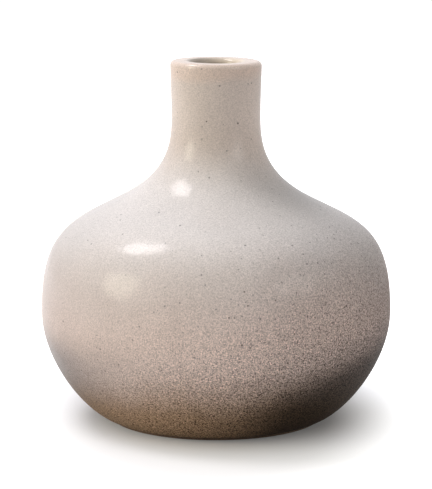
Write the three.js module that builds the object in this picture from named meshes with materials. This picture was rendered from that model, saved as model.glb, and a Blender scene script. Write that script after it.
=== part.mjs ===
// Bud vase: a wheel-thrown stoneware bottle with a broad round belly, a short straight neck and a
// rounded lip round a bore for a single stem.
// The fired clay carries three coats of glaze, one outside, one inside and one under the foot.
// Millimetres, +Z up. The foot ring stands on Z = 0 and the axis of the pot is Z.

import * as THREE from "three";

// Heights
const totalHeight = 120; // table to the top of the lip
const neckLength = 14.8; // root of the neck to the top of the lip
const neckFlareHeight = 31.2; // turn of the shoulder to the root of the neck
const bellyHeight = 36.4; // table to the widest point
const glazeLineHeight = 0.9; // bare clay below the outside glaze

// Diameters of the glazed surface
const footDiameter = 72;
const bellyDiameter = 117;
const shoulderDiameter = 64.6;
const neckDiameter = 29.6;
const lipDiameter = 30;
const boreDiameter = 17.8;

// Slopes of the outside, in degrees above level
const footSlope = 4;
const shoulderSlope = 27.6;

// How far the outside runs on along its own direction before each curve takes over
const footSweep = 6.5;
const bellySweepBelow = 17.5;
const bellySweepAbove = 27.4;
const shoulderSweepBelow = 18.3;
const shoulderSweepAbove = 20.8;
const neckSweep = 10.6;

// Lip
const lipOuterRounding = 2.6;
const lipInnerRounding = 1.8;

// Clay and glaze
const wallThickness = 4.9; // clay of the body, without its glaze
const floorThickness = 5; // clay of the floor, without its glaze
const glazeThickness = 0.5;
const linerReach = 2.8; // how far the inside glaze climbs up the bore from the root of the neck

// Turned foot
const footRingWidth = 4.5;
const footRingBevel = 0.4; // outer edge of the ring, and its inner edge alike
const recessDepth = 2;
const wipedMargin = 1.2; // bare clay between the recess wall and the base glaze

// Inside floor
const floorDiameter = 56; // level part of the floor
const floorCornerRise = 4; // least height at which the floor's corner runs into the wall
const floorCornerEase = 0.45; // pull of the corner's curve at each end, as a share of its length

// Fineness of the lathed surfaces
const lathedSegments = 48;
const sweepSteps = 6;
const roundingSteps = 3;

const neckRootHeight = totalHeight - neckLength;
const shoulderHeight = neckRootHeight - neckFlareHeight;
const linerTopHeight = neckRootHeight + linerReach;
const floorHeight = recessDepth + floorThickness;

const lipRadius = lipDiameter / 2;
const boreRadius = boreDiameter / 2;
const neckWall = (neckDiameter - boreDiameter) / 2 - 2 * glazeThickness;

const point = (radius, height) => new THREE.Vector2(radius, height);

// Unit vector in the plane of the profile, at an angle above level
function heading(degrees) {
  const angle = THREE.MathUtils.degToRad(degrees);
  return point(Math.cos(angle), Math.sin(angle));
}

// Curve between two points of the profile that leaves and arrives in the given headings
function sweep(from, leaving, leavingReach, to, arriving, arrivingReach) {
  return new THREE.CubicBezierCurve(
    from,
    from.clone().addScaledVector(leaving, leavingReach),
    to.clone().addScaledVector(arriving, -arrivingReach),
    to,
  );
}

// Quarter round of the lip, counterclockwise from one angle to the next
function rounding(centre, radius, fromDegrees, toDegrees) {
  const from = THREE.MathUtils.degToRad(fromDegrees);
  const to = THREE.MathUtils.degToRad(toDegrees);
  return new THREE.EllipseCurve(centre.x, centre.y, radius, radius, from, to, false, 0);
}

// Stations along a curve: each has its place, the direction out of the clay, and the clay's
// thickness behind it, which changes evenly from one end of the curve to the other
function stationsAlong(curve, steps, wallAtStart, wallAtEnd) {
  return Array.from({ length: steps + 1 }, (_, step) => {
    const share = step / steps;
    const along = curve.getTangent(share);
    return {
      place: curve.getPoint(share),
      out: point(along.y, -along.x),
      wall: THREE.MathUtils.lerp(wallAtStart, wallAtEnd, share),
    };
  });
}

// Joins runs of stations, each of which starts where the one before it ends
function joined(...runs) {
  return runs.flatMap((run, index) => (index === 0 ? run : run.slice(1)));
}

// The place that lies a given depth below a station's surface
const below = (station, depth) => station.place.clone().addScaledVector(station.out, -depth);

// Outside of the body, from the glaze line to the root of the neck
const up = heading(90);
const turnHeading = heading(180 - shoulderSlope);
const glazeLine = point(footDiameter / 2, glazeLineHeight);
const belly = point(bellyDiameter / 2, bellyHeight);
const shoulder = point(shoulderDiameter / 2, shoulderHeight);
const neckRoot = point(neckDiameter / 2, neckRootHeight);

const lowerBelly = sweep(glazeLine, heading(footSlope), footSweep, belly, up, bellySweepBelow);
const upperBelly = sweep(belly, up, bellySweepAbove, shoulder, turnHeading, shoulderSweepBelow);
const neckFlare = sweep(shoulder, turnHeading, shoulderSweepAbove, neckRoot, up, neckSweep);

const bodyStations = joined(
  stationsAlong(lowerBelly, sweepSteps, wallThickness, wallThickness),
  stationsAlong(upperBelly, sweepSteps, wallThickness, wallThickness),
  stationsAlong(neckFlare, sweepSteps, wallThickness, neckWall),
);

// Neck, lip and the upper bore, down to the line where the two glazes meet
const outerRoundingCentre = point(lipRadius - lipOuterRounding, totalHeight - lipOuterRounding);
const innerRoundingCentre = point(boreRadius + lipInnerRounding, totalHeight - lipInnerRounding);
const neckSide = new THREE.LineCurve(neckRoot, point(lipRadius, outerRoundingCentre.y));
const crown = new THREE.LineCurve(
  point(outerRoundingCentre.x, totalHeight),
  point(innerRoundingCentre.x, totalHeight),
);
const upperBore = new THREE.LineCurve(
  point(boreRadius, innerRoundingCentre.y),
  point(boreRadius, linerTopHeight),
);

const lipStations = joined(
  stationsAlong(neckSide, 1, neckWall, neckWall),
  stationsAlong(rounding(outerRoundingCentre, lipOuterRounding, 0, 90), roundingSteps, 0, 0),
  stationsAlong(crown, 1, 0, 0),
  stationsAlong(rounding(innerRoundingCentre, lipInnerRounding, 90, 180), roundingSteps, 0, 0),
  stationsAlong(upperBore, 1, 0, 0),
);
const glazedStations = joined(bodyStations, lipStations);

// Inside face of the clay: a level floor, a soft corner, the wall, and the bore up to the liner's top
function clayInside() {
  const wall = bodyStations
    .map((station) => ({ ...station, place: below(station, glazeThickness + station.wall) }))
    .filter((station) => station.place.y >= floorHeight + floorCornerRise);
  const floorEdge = point(floorDiameter / 2, floorHeight);
  const level = heading(0);
  const wallFoot = wall[0];
  const climbing = point(-wallFoot.out.y, wallFoot.out.x);
  const reach = floorCornerEase * floorEdge.distanceTo(wallFoot.place);
  const corner = sweep(floorEdge, level, reach, wallFoot.place, climbing, reach);
  const floor = new THREE.LineCurve(point(0, floorHeight), floorEdge);
  const bore = new THREE.LineCurve(
    point(boreRadius + glazeThickness, neckRootHeight),
    point(boreRadius + glazeThickness, linerTopHeight),
  );
  return joined(
    stationsAlong(floor, 1, 0, 0),
    stationsAlong(corner, sweepSteps, 0, 0),
    wall,
    stationsAlong(bore, 1, 0, 0),
  );
}
const insideStations = clayInside();

// Fired clay: recess, foot ring, outside, lip, bore and inside, from axis to axis
function clayProfile() {
  const footEdge = below(glazedStations[0], glazeThickness);
  const ringOutside = footEdge.x;
  const recessRadius = ringOutside - footRingWidth;
  return [
    point(0, recessDepth),
    point(recessRadius, recessDepth),
    point(recessRadius, footRingBevel),
    point(recessRadius + footRingBevel, 0),
    point(ringOutside - footRingBevel, 0),
    point(ringOutside, footRingBevel),
    ...glazedStations.map((station) => below(station, glazeThickness)),
    ...insideStations.map((station) => station.place).reverse().slice(1),
  ];
}

// Outside glaze: one coat from the glaze line over the lip and down the upper bore
function outerGlazeProfile() {
  const face = glazedStations.map((station) => station.place);
  const back = glazedStations.map((station) => below(station, glazeThickness)).reverse();
  return [...face, ...back, face[0]];
}

// Inside glaze: one coat over the floor and the wall and up the lower bore
function linerProfile() {
  const back = insideStations.map((station) => station.place);
  const face = insideStations.map((station) => below(station, glazeThickness)).reverse();
  return [...back, ...face];
}

// Base glaze: a thin disc on the ceiling of the recess
function baseGlazeProfile() {
  const radius = footDiameter / 2 - glazeThickness - footRingWidth - wipedMargin;
  const face = recessDepth - glazeThickness;
  return [point(0, face), point(radius, face), point(radius, recessDepth), point(0, recessDepth)];
}

// One turned piece: its profile goes round the pot's axis
function turned(name, profile, colour, roughness) {
  const geometry = new THREE.LatheGeometry(profile, lathedSegments);
  geometry.rotateX(Math.PI / 2);
  const material = new THREE.MeshStandardMaterial({ color: colour, roughness, metalness: 0 });
  const mesh = new THREE.Mesh(geometry, material);
  mesh.name = name;
  return mesh;
}

const vase = new THREE.Group();
vase.add(
  turned("stoneware_body", clayProfile(), 0x8d7868, 0.9),
  turned("outer_glaze", outerGlazeProfile(), 0xb7a79a, 0.18),
  turned("liner_glaze", linerProfile(), 0xa98a63, 0.3),
  turned("base_glaze", baseGlazeProfile(), 0x5f493e, 0.3),
);

export default vase;
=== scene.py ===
import math

import bpy
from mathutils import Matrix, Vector
from mathutils.geometry import interpolate_bezier


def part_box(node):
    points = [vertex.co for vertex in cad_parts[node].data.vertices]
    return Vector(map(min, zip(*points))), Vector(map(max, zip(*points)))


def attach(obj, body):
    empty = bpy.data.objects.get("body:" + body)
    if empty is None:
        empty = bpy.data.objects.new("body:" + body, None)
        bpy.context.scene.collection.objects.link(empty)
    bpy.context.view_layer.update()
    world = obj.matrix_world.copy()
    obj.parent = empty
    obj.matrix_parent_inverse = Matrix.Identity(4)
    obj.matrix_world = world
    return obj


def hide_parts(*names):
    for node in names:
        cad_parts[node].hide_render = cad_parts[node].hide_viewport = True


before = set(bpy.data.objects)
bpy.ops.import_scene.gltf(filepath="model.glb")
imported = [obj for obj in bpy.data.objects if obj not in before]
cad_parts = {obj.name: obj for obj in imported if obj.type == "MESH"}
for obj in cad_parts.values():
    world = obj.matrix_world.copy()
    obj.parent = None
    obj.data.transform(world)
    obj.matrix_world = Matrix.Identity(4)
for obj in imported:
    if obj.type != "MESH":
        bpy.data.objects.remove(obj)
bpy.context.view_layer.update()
print("frame loaded:", ", ".join(sorted(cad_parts)))

glazeLow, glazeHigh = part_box("outer_glaze")
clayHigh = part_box("stoneware_body")[1]
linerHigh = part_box("liner_glaze")[1]
baseLow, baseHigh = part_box("base_glaze")
potHeight = glazeHigh.z
coatThickness = glazeHigh.x - clayHigh.x


# outlines: lists of (distance from the axis, height), drawn upwards on the outside of the pot

def heading(degrees):
    return Vector((math.cos(math.radians(degrees)), math.sin(math.radians(degrees))))


def sweepCurve(start, leaving, end, arriving, steps):
    knots = interpolate_bezier(start, start + leaving, end - arriving, end, steps + 1)
    return [Vector(knot) for knot in knots]


def arcCurve(centre, radius, fromDegrees, toDegrees, steps):
    turn = (toDegrees - fromDegrees) / steps
    return [centre + radius * heading(fromDegrees + turn * step) for step in range(steps + 1)]


def straightLine(start, end, steps):
    return [start.lerp(end, step / steps) for step in range(steps + 1)]


def joinCurves(*curves):
    joined = list(curves[0])
    for curve in curves[1:]:
        joined += curve[1:]
    return joined


def outwardFrom(outline, index):
    before = outline[max(index - 1, 0)]
    after = outline[min(index + 1, len(outline) - 1)]
    along = (after - before).normalized()
    return Vector((along.y, -along.x))


def offsetInwards(outline, depth):
    return [point - outwardFrom(outline, index) * depth for index, point in enumerate(outline)]


potShape = {
    "footRadius": 0.0360,          # glaze line, where the foot ring is left bare
    "footSlope": 4,                # degrees above level
    "footReach": 0.0065,           # reaches are the lengths of the curve handles
    "bellyHeight": 0.0364,
    "bellyReachBelow": 0.0175,
    "bellyReachAbove": 0.0274,
    "shoulderRadius": 0.0323,
    "shoulderHeight": 0.0740,
    "shoulderSlope": 27.6,
    "shoulderReachBelow": 0.0183,
    "shoulderReachAbove": 0.0208,
    "neckRadius": 0.0148,
    "neckRootHeight": 0.1052,
    "neckReach": 0.0106,
    "lipRadius": 0.0152,
    "lipOuterRounding": 0.0016,
    "lipInnerRounding": 0.0018,
    "mouthRadius": 0.0081,
    "boreRadius": 0.0089,
}

steps = {                          # how finely each stretch of an outline is drawn
    "footToBelly": 42,
    "bellyToShoulder": 40,
    "shoulderToNeck": 30,
    "neck": 10,
    "lipOutside": 8,
    "lipTop": 3,
    "lipInside": 7,
    "bore": 8,
    "chamberFloor": 12,
    "chamberCorner": 14,
    "chamberBore": 4,
    "recess": 12,
    "discFace": 14,
    "discRim": 5,
    "discBack": 6,
}


def drawOutside(shape):
    up = heading(90)
    upTheShoulder = heading(180 - shape["shoulderSlope"])
    glazeLine = Vector((shape["footRadius"], glazeLow.z))
    belly = Vector((glazeHigh.x, shape["bellyHeight"]))
    shoulder = Vector((shape["shoulderRadius"], shape["shoulderHeight"]))
    neckRoot = Vector((shape["neckRadius"], shape["neckRootHeight"]))
    return joinCurves(
        sweepCurve(glazeLine, heading(shape["footSlope"]) * shape["footReach"],
                   belly, up * shape["bellyReachBelow"], steps["footToBelly"]),
        sweepCurve(belly, up * shape["bellyReachAbove"],
                   shoulder, upTheShoulder * shape["shoulderReachBelow"], steps["bellyToShoulder"]),
        sweepCurve(shoulder, upTheShoulder * shape["shoulderReachAbove"],
                   neckRoot, up * shape["neckReach"], steps["shoulderToNeck"]),
    )


def drawLip(shape):
    outerRounding = shape["lipOuterRounding"]
    innerRounding = shape["lipInnerRounding"]
    outerCentre = Vector((shape["lipRadius"] - outerRounding, potHeight - outerRounding))
    innerCentre = Vector((shape["mouthRadius"] + innerRounding, potHeight - innerRounding))
    neckRoot = Vector((shape["neckRadius"], shape["neckRootHeight"]))
    outerArc = arcCurve(outerCentre, outerRounding, 0, 90, steps["lipOutside"])
    innerArc = arcCurve(innerCentre, innerRounding, 90, 180, steps["lipInside"])
    boreEnd = Vector((shape["boreRadius"], linerHigh.z))
    return joinCurves(
        straightLine(neckRoot, outerArc[0], steps["neck"]),
        outerArc,
        straightLine(outerArc[-1], innerArc[0], steps["lipTop"]),
        innerArc,
        straightLine(innerArc[-1], boreEnd, steps["bore"]),
    )


outsideOutline = drawOutside(potShape)
glazedOutline = joinCurves(outsideOutline, drawLip(potShape))


# turning: one vertex is drawn along the outline in edit mode, then spun round the axis

wheel = {
    "steps": 200,                  # round the pot
    "startSize": 0.001,            # plane that is merged to the first vertex
    "mergeDistance": 0.00001,
    "sharpAngle": 50,              # degrees, above which an edge stays sharp
}


def deselectAll():
    bpy.ops.object.select_all(action="DESELECT")


def activate(piece):
    deselectAll()
    piece.select_set(True)
    bpy.context.view_layer.objects.active = piece


def turnPiece(name, outline):
    deselectAll()
    first = outline[0]
    bpy.ops.mesh.primitive_plane_add(size=wheel["startSize"], location=(first.x, 0, first.y))
    piece = bpy.context.active_object
    piece.name = name
    piece.data.name = name
    bpy.ops.object.transform_apply(location=True, rotation=True, scale=True)
    bpy.ops.object.mode_set(mode="EDIT")
    bpy.ops.mesh.select_all(action="SELECT")
    bpy.ops.mesh.merge(type="CENTER")
    for here, there in zip(outline, outline[1:]):
        step = (there.x - here.x, 0, there.y - here.y)
        bpy.ops.mesh.extrude_region_move(TRANSFORM_OT_translate={"value": step})
    bpy.ops.mesh.select_all(action="SELECT")
    bpy.ops.mesh.spin(steps=wheel["steps"], angle=2 * math.pi, center=(0, 0, 0), axis=(0, 0, 1))
    bpy.ops.mesh.select_all(action="SELECT")
    bpy.ops.mesh.remove_doubles(threshold=wheel["mergeDistance"])
    bpy.ops.mesh.normals_make_consistent(inside=False)
    bpy.ops.object.mode_set(mode="OBJECT")
    return piece


def applyModifier(piece, kind, **settings):
    activate(piece)
    modifier = piece.modifiers.new(kind.lower(), kind)
    for setting, value in settings.items():
        setattr(modifier, setting, value)
    bpy.ops.object.modifier_apply(modifier=modifier.name)


def finishPiece(piece, node, material, sharpAngle=wheel["sharpAngle"]):
    activate(piece)
    bpy.ops.object.shade_smooth_by_angle(angle=math.radians(sharpAngle))
    piece.data.materials.clear()
    piece.data.materials.append(material)
    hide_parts(node)
    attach(piece, "root")
    print(piece.name, "finished:", len(piece.data.polygons), "faces")


# the wheel left the shoulder and the lip a little out of level, higher on the left than on the right

lean = {
    "shoulder": {"angle": 0.9, "height": 0.0780, "spread": 0.0200},  # degrees, and metres for the rest
    "lip": {"angle": 0.6, "height": 0.1200, "spread": 0.0150},
    "rows": 25,                    # of the lattice, from the foot to the lip
}


def leanAmount(height):
    slope = 0
    for place in (lean["shoulder"], lean["lip"]):
        away = abs(height - place["height"]) / place["spread"]
        fade = math.cos(min(away, 1) * math.pi / 2) ** 2
        slope += math.tan(math.radians(place["angle"])) * fade
    return slope


def makeLeanCage():
    deselectAll()
    bpy.ops.object.add(type="LATTICE", location=(0, 0, potHeight / 2))
    cage = bpy.context.active_object
    cage.name = "leanCage"
    cage.scale = (2 * glazeHigh.x, 2 * glazeHigh.x, potHeight)
    cage.data.points_u = 2
    cage.data.points_v = 2
    cage.data.points_w = lean["rows"]
    for point in cage.data.points:
        height = (point.co.z + 0.5) * potHeight
        point.co_deform.z -= 2 * point.co.x * glazeHigh.x * leanAmount(height) / potHeight
    bpy.context.view_layer.update()
    return cage


leanCage = makeLeanCage()


# materials

def addNode(tree, kind, values=None, **settings):
    made = tree.nodes.new(kind)
    for setting, value in settings.items():
        setattr(made, setting, value)
    for socket, value in (values or {}).items():
        if isinstance(value, bpy.types.NodeSocket):
            tree.links.new(value, made.inputs[socket])
        else:
            made.inputs[socket].default_value = value
    return made


def mathNode(tree, operation, first, second=0.0, third=0.0, clamp=False):
    values = {0: first, 1: second, 2: third}
    return addNode(tree, "ShaderNodeMath", values, operation=operation, use_clamp=clamp).outputs[0]


def mapRange(tree, value, fromLow, fromHigh, toLow=0.0, toHigh=1.0, smooth=True):
    values = {"Value": value, "From Min": fromLow, "From Max": fromHigh, "To Min": toLow, "To Max": toHigh}
    kind = "SMOOTHSTEP" if smooth else "LINEAR"
    return addNode(tree, "ShaderNodeMapRange", values, interpolation_type=kind).outputs["Result"]


def mixColour(tree, share, first, second, blend="MIX"):
    mixer = addNode(tree, "ShaderNodeMix", data_type="RGBA", blend_type=blend)
    for socket, value in ((0, share), (6, first), (7, second)):
        if isinstance(value, bpy.types.NodeSocket):
            tree.links.new(value, mixer.inputs[socket])
        else:
            mixer.inputs[socket].default_value = value
    return mixer.outputs[2]


def addNoise(tree, place, scale, detail, roughness=0.5):
    values = {"Vector": place, "Scale": scale, "Detail": detail, "Roughness": roughness}
    return addNode(tree, "ShaderNodeTexNoise", values).outputs["Fac"]


def addRelief(tree, height, depth):
    values = {"Strength": 1.0, "Distance": depth, "Height": height}
    return addNode(tree, "ShaderNodeBump", values).outputs["Normal"]


def vectorMath(tree, operation, first, second=(0, 0, 0)):
    return addNode(tree, "ShaderNodeVectorMath", {0: first, 1: second}, operation=operation).outputs


def fromAxis(tree, place):
    flat = vectorMath(tree, "MULTIPLY", place, (1, 1, 0))["Vector"]
    return vectorMath(tree, "LENGTH", flat)["Value"]


def opaque(colour):
    return (*colour, 1)


# effects that are used more than once, as node groups with one output each

def startGroup(name, inputs, output):
    group = bpy.data.node_groups.new(name, "ShaderNodeTree")
    for socket, kind in inputs.items():
        group.interface.new_socket(name=socket, in_out="INPUT", socket_type="NodeSocket" + kind)
    group.interface.new_socket(name=output, in_out="OUTPUT", socket_type="NodeSocketFloat")
    entry = addNode(group, "NodeGroupInput").outputs
    result = addNode(group, "NodeGroupOutput").inputs[output]
    return group, entry, result


def useGroup(tree, group, values):
    return addNode(tree, "ShaderNodeGroup", values, node_tree=group).outputs[0]


# scattered specks: some of the cells hold one, and no two are the same size

speckForm = {
    "smallest": 0.5,               # radius of the smallest one, as a share of the given radius
    "core": 0.35,                  # where the soft edge ends, as a share of a speck's own radius
}


def makeSpeckGroup(form):
    inputs = {"Vector": "Vector", "Spacing": "Float", "Radius": "Float", "Share": "Float"}
    group, entry, result = startGroup("scatteredSpecks", inputs, "Mask")
    scale = mathNode(group, "DIVIDE", 1.0, entry["Spacing"])
    cells = addNode(group, "ShaderNodeTexVoronoi", {"Vector": entry["Vector"], "Scale": scale})
    chance = addNode(group, "ShaderNodeSeparateColor", {"Color": cells.outputs["Color"]}).outputs
    distance = mathNode(group, "MULTIPLY", cells.outputs["Distance"], entry["Spacing"])
    smallest = mathNode(group, "MULTIPLY", entry["Radius"], form["smallest"])
    grown = mathNode(group, "MULTIPLY", entry["Radius"], chance[1])
    radius = mathNode(group, "ADD", smallest, grown)
    core = mathNode(group, "MULTIPLY", radius, form["core"])
    spot = mapRange(group, distance, radius, core)
    present = mathNode(group, "LESS_THAN", chance[0], entry["Share"])
    group.links.new(mathNode(group, "MULTIPLY", spot, present), result)
    return group


# stipple: fine grains, with a number below 0 for a dark one and above 0 for a light one

stippleForm = {
    "detail": 1.0,
    "roughness": 0.6,
    "noiseRange": (0.25, 0.75),
    "grainRange": (-1.1, 0.9),     # darkest and lightest
}


def makeStippleGroup(form):
    group, entry, result = startGroup("stipple", {"Vector": "Vector", "Grain": "Float"}, "Grains")
    scale = mathNode(group, "DIVIDE", 1.0, entry["Grain"])
    noise = addNoise(group, entry["Vector"], scale, form["detail"], form["roughness"])
    grains = mapRange(group, noise, *form["noiseRange"], *form["grainRange"], smooth=False)
    group.links.new(grains, result)
    return group


# soft clouding: a slow change about 1, to multiply a colour or a roughness with

cloudForm = {
    "detail": 3.0,
    "roughness": 0.5,
    "middle": 0.5,                 # of the noise, which leaves a colour as it is
    "spread": 2.0,                 # makes Amount the change where the noise is 0 or 1
}


def makeCloudGroup(form):
    inputs = {"Vector": "Vector", "Size": "Float", "Amount": "Float"}
    group, entry, result = startGroup("softClouds", inputs, "Factor")
    scale = mathNode(group, "DIVIDE", 1.0, entry["Size"])
    noise = addNoise(group, entry["Vector"], scale, form["detail"], form["roughness"])
    centred = mathNode(group, "SUBTRACT", noise, form["middle"])
    change = mathNode(group, "MULTIPLY", centred, entry["Amount"])
    spread = mathNode(group, "MULTIPLY", change, form["spread"])
    group.links.new(mathNode(group, "ADD", 1.0, spread), result)
    return group


# one round speck at a given point

markForm = {
    "core": 0.4,                   # where its soft edge ends, as a share of its radius
}


def makeMarkGroup(form):
    inputs = {"Vector": "Vector", "Centre": "Vector", "Radius": "Float"}
    group, entry, result = startGroup("singleMark", inputs, "Mask")
    away = vectorMath(group, "DISTANCE", entry["Vector"], entry["Centre"])["Value"]
    core = mathNode(group, "MULTIPLY", entry["Radius"], form["core"])
    group.links.new(mapRange(group, away, entry["Radius"], core), result)
    return group


speckGroup = makeSpeckGroup(speckForm)
stippleGroup = makeStippleGroup(stippleForm)
cloudGroup = makeCloudGroup(cloudForm)
markGroup = makeMarkGroup(markForm)
print("node groups made")


def addSpecks(tree, place, specks, share):
    return useGroup(tree, speckGroup, {"Vector": place, "Spacing": specks["spacing"],
                                       "Radius": specks["radius"], "Share": share})


def addClouds(tree, place, clouds):
    return useGroup(tree, cloudGroup, {"Vector": place, "Size": clouds["size"], "Amount": clouds["amount"]})


def addStipple(tree, place, grain):
    return useGroup(tree, stippleGroup, {"Vector": place, "Grain": grain})


def startMaterial(name, settings):
    material = bpy.data.materials.new(name)
    material.use_nodes = True
    tree = material.node_tree
    shader = tree.nodes["Principled BSDF"]
    for socket, value in settings.items():
        shader.inputs[socket].default_value = value
    place = addNode(tree, "ShaderNodeTexCoord").outputs["Object"]
    return material, tree, shader, place


outsideGlaze = {
    "shader": {"Specular IOR Level": 0.02, "Coat Roughness": 0.15, "Coat IOR": 1.9},
    # the colours of the tones were fitted to the photograph by scratch scripts, not chosen by eye
    "footTone": (0.34, 0.23, 0.15),     # dark brown, where the glaze is thin
    "tones": {                      # from the foot up, and the heights over which each takes over
        "belly": {"colour": (0.74, 0.60, 0.54), "heights": (0.008, 0.030)},     # pinkish beige
        "shoulder": {"colour": (0.72, 0.68, 0.66), "heights": (0.034, 0.072)},  # cool grey white
        "neck": {"colour": (0.66, 0.57, 0.51), "heights": (0.076, 0.096)},      # beige
        "rim": {"colour": (0.69, 0.56, 0.48), "heights": (0.113, 0.117)},       # warmer beige
    },
    "toneTilt": 0.0030,             # how much higher the dark reaches at the right
    "toneTiltHeight": (0.080, 0.040),   # from none to all of the tilt
    "toneWander": 0.0022,           # how far the tones stray from level
    "toneWanderSize": 0.030,
    "toneWanderDetail": 3.0,
    "toneWanderNoise": (0.3, 0.7),
    # painted shade, fitted to the photograph by scratch scripts, so it holds some of its light
    "sideShade": (1.9, 0.14),       # how much darker the foot and the belly are at the right than at the left
    "sideShadeHeight": (0.003, 0.028),
    "edgeShade": (3.1, 0.35),       # how much darker they are at both sides
    "edgeShadeHeight": (0.000, 0.038),
    "shoulderShade": (0.26, 0.66),  # and the shoulder, at the right and at both sides
    "shoulderShadeHeight": (0.069, 0.080),
    "neckShade": -1.3,              # the neck is lighter at both sides
    "neckShadeHeight": (0.088, 0.100),
    "shadeEnd": (0.096, 0.080),     # the shading of the body sets in between these heights
    "darkestShade": 0.15,
    "shadeBlend": 0.7,              # how softly the shading ends at its darkest
    "clouds": {"size": 0.018, "amount": 0.10},
    "grainSize": 0.00044,
    "grainTop": 0.078,              # from this height down the grains grow stronger
    "grainBottom": 0.008,
    "grainCurve": 2.3,              # above 1 they stay weak for longer
    "grainTilt": 0.022,             # how much higher the strong grains reach at the right
    "grainStrength": (0.17, 1.14),
    "darkestGrain": 0.05,
    "darkSpecks": {"spacing": 0.00115, "radius": 0.00035, "change": -0.55},
    "darkSpeckShare": (0.04, 0.85),
    "lightSpecks": {"spacing": 0.0010, "radius": 0.00027, "change": 0.35},
    "lightSpeckTop": 0.034,
    "ironSpecks": {"spacing": 0.0075, "radius": 0.00035},
    "ironShare": 0.20,
    "ironColour": (0.090, 0.065, 0.050),
    "ironStrength": 0.85,
    # placed by eye on the enlarged photograph, and turned into degrees and heights by a script
    "ironMarks": [                  # the plainest ones: degrees round from the front, height, radius
        (-12, 0.1015, 0.00036),
        (29, 0.1007, 0.00040),
        (-28, 0.0750, 0.00036),
        (-39, 0.0603, 0.00040),
        (-31, 0.0584, 0.00043),
        (9, 0.0530, 0.00054),
        (10, 0.0488, 0.00050),
        (19, 0.0500, 0.00040),
        (8, 0.0364, 0.00050),
        (23, 0.0296, 0.00046),
        (25, 0.0390, 0.00040),
        (4, 0.0452, 0.00040),
        (54, 0.0514, 0.00046),
        (45, 0.0452, 0.00043),
    ],
    "gloss": (0.02, 0.25),          # weight of the shiny coat on the dry foot and on the rest
    "glossHeight": (0.020, 0.050),
    "lipGloss": 0.36,               # added on the lip, where the glaze is thickest
    "lipGlossHeight": (0.1178, 0.1190),
    "roughness": (0.60, 0.42),      # on the dry foot and on the rest
    # colour in the bore: partly its own tint and partly painted shade
    "boreTintAndShade": (0.600, 0.520, 0.420),
    "boreShade": (0.45, 1.30),      # painted shade at the left of the bore and painted light at its right
    "boreEdge": (0.0106, 0.0090),   # distances from the axis between which its tint and painted shade set in
    "boreStrength": 0.85,
    "peelSize": 0.0042,             # orange peel
    "peelDetail": 3.0,
    "peelRoughness": 0.6,
    "peelDepth": 0.00015,
}


# height in the glaze: dark glaze reaches higher at the right and its edge wanders
def glazeHeight(tree, place, axes, look):
    lower = mapRange(tree, axes["Z"], *look["toneTiltHeight"])
    tilt = mathNode(tree, "MULTIPLY", axes["X"], -look["toneTilt"] / glazeHigh.x)
    tilted = mathNode(tree, "MULTIPLY_ADD", tilt, lower, axes["Z"])
    noise = addNoise(tree, place, 1 / look["toneWanderSize"], look["toneWanderDetail"])
    wander = mapRange(tree, noise, *look["toneWanderNoise"],
                      -look["toneWander"], look["toneWander"], smooth=False)
    return mathNode(tree, "ADD", tilted, wander)


def glazeTone(tree, height, look):
    colour = opaque(look["footTone"])
    for tone in look["tones"].values():
        share = mapRange(tree, height, *tone["heights"])
        colour = mixColour(tree, share, colour, opaque(tone["colour"]))
    return colour


# shade painted on the sides: side runs from -1 at the left to 1 at the right, and 1 is no shade
def shadeSides(tree, side, height, look):
    body = mapRange(tree, height, *look["shadeEnd"])
    shoulder = mapRange(tree, height, *look["shoulderShadeHeight"])
    shoulderRight, shoulderEdges = look["shoulderShade"]
    slope = mapRange(tree, height, *look["sideShadeHeight"], *look["sideShade"])
    slope = mathNode(tree, "MULTIPLY_ADD", shoulder, shoulderRight, slope)
    right = mathNode(tree, "MULTIPLY", mathNode(tree, "MULTIPLY", side, body), slope)
    fall = mapRange(tree, height, *look["edgeShadeHeight"], *look["edgeShade"])
    fall = mathNode(tree, "MULTIPLY_ADD", shoulder, shoulderEdges, fall)
    neck = mapRange(tree, height, *look["neckShadeHeight"], 0.0, look["neckShade"])
    fall = mathNode(tree, "MULTIPLY_ADD", fall, body, neck)
    edges = mathNode(tree, "MULTIPLY", mathNode(tree, "MULTIPLY", side, side), fall)
    remaining = mathNode(tree, "SUBTRACT", mathNode(tree, "SUBTRACT", 1.0, right), edges)
    return mathNode(tree, "SMOOTH_MAX", remaining, look["darkestShade"], look["shadeBlend"])


def shadeGrains(tree, place, growth, look):
    strength = mapRange(tree, growth, 0.0, 1.0, *look["grainStrength"], smooth=False)
    grains = addStipple(tree, place, look["grainSize"])
    level = mathNode(tree, "MULTIPLY_ADD", grains, strength, 1.0)
    return mathNode(tree, "MAXIMUM", level, look["darkestGrain"])


def shadeSpecks(tree, place, specks, share):
    return mathNode(tree, "MULTIPLY_ADD", addSpecks(tree, place, specks, share), specks["change"], 1.0)


def placeOnOutside(degrees, height):
    upper = next(knot for knot in glazedOutline if knot.y >= height)
    around = math.radians(degrees)
    return (math.sin(around) * upper.x, -math.cos(around) * upper.x, height)


def ironMask(tree, place, look):
    iron = addSpecks(tree, place, look["ironSpecks"], look["ironShare"])
    for degrees, height, radius in look["ironMarks"]:
        centre = placeOnOutside(degrees, height)
        mark = useGroup(tree, markGroup, {"Vector": place, "Centre": centre, "Radius": radius})
        iron = mathNode(tree, "MAXIMUM", iron, mark)
    return mathNode(tree, "MULTIPLY", iron, look["ironStrength"])


# the bore's colour: its tint, with painted shade at the left and painted light at the right
def tintAndShadeBore(tree, place, axes, look, outside):
    radius = potShape["boreRadius"]
    level = mapRange(tree, axes["X"], -radius, radius, *look["boreShade"])
    shadedTint = mixColour(tree, 1.0, opaque(look["boreTintAndShade"]), level, "MULTIPLY")
    bore = mapRange(tree, fromAxis(tree, place), *look["boreEdge"])
    return mixColour(tree, mathNode(tree, "MULTIPLY", bore, look["boreStrength"]), outside, shadedTint)


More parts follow.
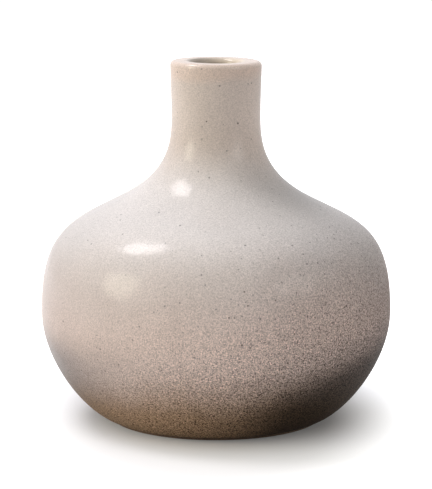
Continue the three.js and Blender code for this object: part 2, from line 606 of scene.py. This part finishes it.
def makeOutsideGlaze(look):
    material, tree, shader, place = startMaterial("outsideGlaze", look["shader"])
    axes = addNode(tree, "ShaderNodeSeparateXYZ", {"Vector": place}).outputs
    side = mathNode(tree, "DIVIDE", axes["X"], glazeHigh.x)
    height = glazeHeight(tree, place, axes, look)
    grainHeight = mathNode(tree, "MULTIPLY_ADD", side, -look["grainTilt"], height)
    below = mapRange(tree, grainHeight, look["grainTop"], look["grainBottom"], smooth=False)
    growth = mathNode(tree, "POWER", below, look["grainCurve"])
    darkShare = mapRange(tree, growth, 0.0, 1.0, *look["darkSpeckShare"], smooth=False)
    lightShare = mapRange(tree, grainHeight, look["lightSpeckTop"], look["grainBottom"])

    level = shadeSides(tree, side, axes["Z"], look)
    for change in (addClouds(tree, place, look["clouds"]),
                   shadeGrains(tree, place, growth, look),
                   shadeSpecks(tree, place, look["darkSpecks"], darkShare),
                   shadeSpecks(tree, place, look["lightSpecks"], lightShare)):
        level = mathNode(tree, "MULTIPLY", level, change)
    glaze = mixColour(tree, 1.0, glazeTone(tree, height, look), level, "MULTIPLY")
    spotted = mixColour(tree, ironMask(tree, place, look), glaze, opaque(look["ironColour"]))
    tree.links.new(tintAndShadeBore(tree, place, axes, look, spotted), shader.inputs["Base Color"])

    gloss = mapRange(tree, grainHeight, *look["glossHeight"], *look["gloss"])
    lipGloss = mapRange(tree, axes["Z"], *look["lipGlossHeight"], 0.0, look["lipGloss"])
    tree.links.new(mathNode(tree, "ADD", gloss, lipGloss), shader.inputs["Coat Weight"])
    roughness = mapRange(tree, grainHeight, *look["glossHeight"], *look["roughness"])
    tree.links.new(roughness, shader.inputs["Roughness"])

    peel = addNoise(tree, place, 1 / look["peelSize"], look["peelDetail"], look["peelRoughness"])
    normal = addRelief(tree, peel, look["peelDepth"])
    tree.links.new(normal, shader.inputs["Normal"])
    tree.links.new(normal, shader.inputs["Coat Normal"])
    return material


bareClay = {
    "shader": {"Specular IOR Level": 0.3},
    "colour": (0.30, 0.215, 0.155),
    "wiped": (0.20, 0.135, 0.095),
    "clouds": {"size": 0.009, "amount": 0.35},
    "grainSize": 0.0006,
    "grainRange": (-1.0, 1.0),      # from the clay's own colour to the wiped one
    "grog": {"spacing": 0.0016, "radius": 0.00025},
    "grogShare": 0.5,
    "grogColour": (0.10, 0.07, 0.05),
    "roughness": 0.85,
    "roughClouds": {"size": 0.004, "amount": 0.12},
    "turningLines": 0.0011,         # spacing of the tool's lines
    "turningStrength": 0.3,         # of the lines beside the clay's tooth
    "toothScale": 2200.0,
    "toothDetail": 2.0,
    "reliefDepth": 0.00003,
}


def makeBareClay(look):
    material, tree, shader, place = startMaterial("bareClay", look["shader"])
    fine = mapRange(tree, addStipple(tree, place, look["grainSize"]), *look["grainRange"])
    mixed = mixColour(tree, fine, opaque(look["colour"]), opaque(look["wiped"]))
    shaded = mixColour(tree, 1.0, mixed, addClouds(tree, place, look["clouds"]), "MULTIPLY")
    grog = addSpecks(tree, place, look["grog"], look["grogShare"])
    colour = mixColour(tree, grog, shaded, opaque(look["grogColour"]))
    tree.links.new(colour, shader.inputs["Base Color"])
    rough = addClouds(tree, place, look["roughClouds"])
    tree.links.new(mathNode(tree, "MULTIPLY", rough, look["roughness"]), shader.inputs["Roughness"])

    phase = mathNode(tree, "MULTIPLY", fromAxis(tree, place), 2 * math.pi / look["turningLines"])
    lines = mathNode(tree, "MULTIPLY", mathNode(tree, "SINE", phase), look["turningStrength"])
    tooth = addNoise(tree, place, look["toothScale"], look["toothDetail"])
    normal = addRelief(tree, mathNode(tree, "ADD", lines, tooth), look["reliefDepth"])
    tree.links.new(normal, shader.inputs["Normal"])
    return material


# the inside and the base glaze: runs of a second colour, dark specks and a slight relief

insideGlaze = {
    "shader": {"Specular IOR Level": 0.5},
    "colour": (0.50, 0.36, 0.20),
    "runColour": (0.36, 0.24, 0.12),
    "runScale": 90.0,
    "runDetail": 3.0,
    "runRoughness": 0.5,
    "runNoise": (0.35, 0.65),
    "runDepth": 0.00005,
    "specks": {"spacing": 0.0035, "radius": 0.0004},
    "speckShare": 0.5,
    "speckStrength": 0.7,
    "speckColour": (0.10, 0.06, 0.035),
    "roughness": 0.30,
    "roughClouds": {"size": 0.005, "amount": 0.3},
}

underGlaze = {
    "shader": {"Specular IOR Level": 0.5},
    "colour": (0.135, 0.083, 0.054),
    "runColour": (0.215, 0.140, 0.093),
    "runScale": 120.0,
    "runDetail": 7.0,
    "runRoughness": 0.65,
    "runNoise": (0.36, 0.72),
    "runDepth": 0.00006,
    "specks": {"spacing": 0.0030, "radius": 0.0004},
    "speckShare": 0.4,
    "speckStrength": 0.6,
    "speckColour": (0.04, 0.026, 0.018),
    "roughness": 0.25,
    "roughClouds": {"size": 0.005, "amount": 0.35},
}


def makeRunGlaze(name, look):
    material, tree, shader, place = startMaterial(name, look["shader"])
    runs = addNoise(tree, place, look["runScale"], look["runDetail"], look["runRoughness"])
    share = mapRange(tree, runs, *look["runNoise"])
    mixed = mixColour(tree, share, opaque(look["colour"]), opaque(look["runColour"]))
    specks = addSpecks(tree, place, look["specks"], look["speckShare"])
    speckMask = mathNode(tree, "MULTIPLY", specks, look["speckStrength"])
    colour = mixColour(tree, speckMask, mixed, opaque(look["speckColour"]))
    tree.links.new(colour, shader.inputs["Base Color"])
    rough = addClouds(tree, place, look["roughClouds"])
    tree.links.new(mathNode(tree, "MULTIPLY", rough, look["roughness"]), shader.inputs["Roughness"])
    tree.links.new(addRelief(tree, runs, look["runDepth"]), shader.inputs["Normal"])
    return material


# outside glaze: one coat from the glaze line over the lip and down the upper bore

def makeOuterGlaze():
    coat = turnPiece("outerGlazeCoat", glazedOutline)
    applyModifier(coat, "SOLIDIFY", thickness=coatThickness, offset=-1, use_even_offset=True)
    applyModifier(coat, "LATTICE", object=leanCage)
    finishPiece(coat, "outer_glaze", makeOutsideGlaze(outsideGlaze))


# fired clay: recess, foot ring, outside, lip, bore and chamber, as one closed body

clayBody = {
    "wall": 0.0049,
    "floor": 0.0050,
    "ringWidth": 0.0045,
    "ringBevel": 0.0004,
    "levelFloorRadius": 0.0280,
    "cornerRise": 0.0040,          # of the curve from the floor to the wall
    "cornerEase": 0.45,            # its handles, as a share of its span
    "sharpAngle": 35,              # degrees
}


def drawInside(shape):
    wall = [point for point in offsetInwards(outsideOutline, coatThickness + shape["wall"])
            if point.y > baseHigh.z + shape["floor"] + shape["cornerRise"]]
    floorEdge = Vector((shape["levelFloorRadius"], baseHigh.z + shape["floor"]))
    climbing = (wall[1] - wall[0]).normalized()
    reach = shape["cornerEase"] * (wall[0] - floorEdge).length
    boreTop = Vector((wall[-1].x, linerHigh.z))
    return joinCurves(
        straightLine(Vector((0, floorEdge.y)), floorEdge, steps["chamberFloor"]),
        sweepCurve(floorEdge, heading(0) * reach, wall[0], climbing * reach, steps["chamberCorner"]),
        wall,
        straightLine(wall[-1], boreTop, steps["chamberBore"]),
    )


insideOutline = drawInside(clayBody)


def makeClayPot(shape):
    skin = offsetInwards(glazedOutline, coatThickness)
    ringRadius = skin[0].x
    innerRadius = ringRadius - shape["ringWidth"]
    bevel = shape["ringBevel"]
    ring = [
        Vector((innerRadius, baseHigh.z)),
        Vector((innerRadius, bevel)),
        Vector((innerRadius + bevel, 0)),
        Vector((ringRadius - bevel, 0)),
        Vector((ringRadius, bevel)),
    ]
    ceiling = straightLine(Vector((0, baseHigh.z)), ring[0], steps["recess"])
    outline = joinCurves(ceiling, ring) + skin + list(reversed(insideOutline))[1:]
    pot = turnPiece("clayPot", outline)
    applyModifier(pot, "LATTICE", object=leanCage)
    finishPiece(pot, "stoneware_body", makeBareClay(bareClay), shape["sharpAngle"])


# inside glaze: one coat over the floor and the wall, up to the outside glaze

def makeLinerGlaze():
    face = offsetInwards(list(reversed(insideOutline)), coatThickness)
    coat = turnPiece("linerGlazeCoat", face)
    applyModifier(coat, "SOLIDIFY", thickness=coatThickness, offset=1, use_even_offset=True)
    applyModifier(coat, "LATTICE", object=leanCage)
    finishPiece(coat, "liner_glaze", makeRunGlaze("insideGlaze", insideGlaze))


# base glaze: a thin brushed disc on the ceiling of the recess, its rim melted round

def makeBaseGlaze():
    thickness = baseHigh.z - baseLow.z
    rim = arcCurve(Vector((baseHigh.x - thickness, baseHigh.z)), thickness, -90, 0, steps["discRim"])
    face = straightLine(Vector((0, baseLow.z)), rim[0], steps["discFace"])
    back = straightLine(rim[-1], Vector((0, baseHigh.z)), steps["discBack"])
    disc = turnPiece("baseGlazeDisc", joinCurves(face, rim, back))
    finishPiece(disc, "base_glaze", makeRunGlaze("underGlaze", underGlaze))


makeClayPot(clayBody)
makeOuterGlaze()
makeLinerGlaze()
makeBaseGlaze()
bpy.data.objects.remove(leanCage)


# floor: pale and plain, and it keeps the pot's shadow; a painted glow makes it look white to the camera
# further out and paints how the shadow fades

studioFloor = {
    "size": 12.0,
    "shader": {
        "Base Color": (0.68, 0.68, 0.68, 1),
        "Roughness": 1.0,
        "Specular IOR Level": 0.0,
        "Emission Color": (1, 1, 1, 1),
    },
    "lift": 0.07,                   # painted glow beside the pot, kept low so that the shadow stays dark there
    # the numbers of both glows were fitted to the photograph's floor and then rounded
    # each glow grows to its level between two distances from its centre, and its stretch, above 1,
    # makes it set in nearer at the sides than in front
    "nearGlow": {"level": 0.36, "distances": (0.080, 0.123),
                 "centre": (0.008, 0.053, 0.0), "stretch": (1.6, 1.0, 1.0)},
    "farGlow": {"level": 1.0, "distances": (0.075, 0.157),
                "centre": (-0.002, 0.001, 0.0), "stretch": (2.0, 1.0, 1.0)},
}


def anyViewRay(tree):
    path = addNode(tree, "ShaderNodeLightPath").outputs
    seen = mathNode(tree, "ADD", path["Is Camera Ray"], path["Is Glossy Ray"])
    return mathNode(tree, "ADD", seen, path["Is Transmission Ray"], clamp=True)


def addGlow(tree, place, before, glow):
    offset = vectorMath(tree, "SUBTRACT", place, glow["centre"])["Vector"]
    stretched = vectorMath(tree, "MULTIPLY", offset, glow["stretch"])["Vector"]
    away = vectorMath(tree, "LENGTH", stretched)["Value"]
    return mapRange(tree, away, *glow["distances"], before, glow["level"])


def makeFloor(look):
    deselectAll()
    bpy.ops.mesh.primitive_plane_add(size=look["size"], location=(0, 0, 0))
    floor = bpy.context.active_object
    floor.name = "studioFloor"
    material, tree, shader, place = startMaterial("studioFloor", look["shader"])
    near = addGlow(tree, place, look["lift"], look["nearGlow"])
    glow = addGlow(tree, place, near, look["farGlow"])
    strength = mathNode(tree, "MULTIPLY", anyViewRay(tree), glow)
    tree.links.new(strength, shader.inputs["Emission Strength"])
    floor.data.materials.append(material)
    print("floor laid")


makeFloor(studioFloor)


# studio light: eleven round lamps, of which three show as highlights and the others only fill
# levels and tints come mostly from fits of scratch scripts to the photograph, not from the eye
# azimuth 0 is in front and 90 at the right; brightness is that of the lamp's face, with 1 for white

lampDistance = 1.2                  # metres, from the middle of the pot

lamps = {
    "key": {"azimuth": -108.5, "elevation": 60.5, "diameter": 0.42,
            "brightness": 9.9, "colour": (1.0, 0.95, 0.95), "reflected": True},
    "warm": {"azimuth": -67.5, "elevation": 19, "diameter": 0.52,
             "brightness": 4.6, "colour": (1.0, 0.94, 0.72), "reflected": True},
    "overhead": {"azimuth": 0, "elevation": 90, "diameter": 2.4,
                 "brightness": 0.55, "colour": (0.76, 0.87, 1.0), "reflected": False},
    "front": {"azimuth": 0, "elevation": 45, "diameter": 1.12,
              "brightness": 0.50, "colour": (1.0, 0.83, 0.63), "reflected": False},
    "faint": {"azimuth": 55, "elevation": 20, "diameter": 0.62,
              "brightness": 2.0, "colour": (1.0, 0.96, 0.90), "reflected": True},
    "left": {"azimuth": -90, "elevation": 25, "diameter": 1.12,
             "brightness": 0.80, "colour": (1.0, 0.95, 0.76), "reflected": False},
    "highLeft": {"azimuth": -90, "elevation": 60, "diameter": 1.39,
                 "brightness": 0.31, "colour": (0.90, 0.94, 1.0), "reflected": False},
    "right": {"azimuth": 90, "elevation": 50, "diameter": 1.39,
              "brightness": 0.57, "colour": (1.0, 0.88, 0.78), "reflected": False},
    "back": {"azimuth": 180, "elevation": 45, "diameter": 1.39,
             "brightness": 0.90, "colour": (1.0, 0.98, 0.96), "reflected": False},
    "backLeft": {"azimuth": -135, "elevation": 40, "diameter": 1.39,
                 "brightness": 0.86, "colour": (0.63, 0.65, 1.0), "reflected": False},
    "lowLeft": {"azimuth": -60, "elevation": 9, "diameter": 0.34,
                "brightness": 4.3, "colour": (1.0, 1.0, 1.0), "reflected": False},
}


def makeLamp(name, look):
    azimuth = math.radians(look["azimuth"])
    elevation = math.radians(look["elevation"])
    level = math.cos(elevation)
    towards = Vector((math.sin(azimuth) * level, -math.cos(azimuth) * level, math.sin(elevation)))
    target = Vector((0, 0, potHeight / 2))
    bpy.ops.object.light_add(type="AREA", location=target + towards * lampDistance)
    lamp = bpy.context.active_object
    lamp.name = name + "Lamp"
    lamp.rotation_euler = towards.to_track_quat("Z", "Y").to_euler()
    face = math.pi * (look["diameter"] / 2) ** 2
    lamp.data.shape = "DISK"
    lamp.data.size = look["diameter"]
    lamp.data.energy = look["brightness"] * math.pi * face
    lamp.data.color = look["colour"]
    lamp.visible_glossy = look["reflected"]


# the world is white to look at and gives no light
def makeWorld():
    world = bpy.data.worlds.new("studioWorld")
    bpy.context.scene.world = world
    world.use_nodes = True
    tree = world.node_tree
    background = tree.nodes["Background"]
    colour = mixColour(tree, anyViewRay(tree), (0, 0, 0, 1), (1, 1, 1, 1))
    tree.links.new(colour, background.inputs["Color"])
    background.inputs["Strength"].default_value = 1.0


for lampName, lampLook in lamps.items():
    makeLamp(lampName, lampLook)
makeWorld()
print("lamps set:", ", ".join(lamps))


# camera: 0.8 m in front, looking down by ten degrees

view = {
    "place": (0.0, -0.800, 0.1989),
    "pitch": 9.97,                  # degrees below level
    "lens": 178.6,                  # millimetres, like the width of the sensor
    "sensor": 36.0,
    "clip": (0.01, 50.0),           # nearest and farthest that it sees
}


def makeCamera(look):
    tilt = math.radians(90 - look["pitch"])
    bpy.ops.object.camera_add(location=look["place"], rotation=(tilt, 0, 0))
    camera = bpy.context.active_object
    camera.name = "photoCamera"
    camera.data.lens = look["lens"]
    camera.data.sensor_width = look["sensor"]
    camera.data.clip_start, camera.data.clip_end = look["clip"]
    bpy.context.scene.camera = camera
    print("camera placed")


makeCamera(view)
bpy.context.scene.view_settings.view_transform = "Standard"
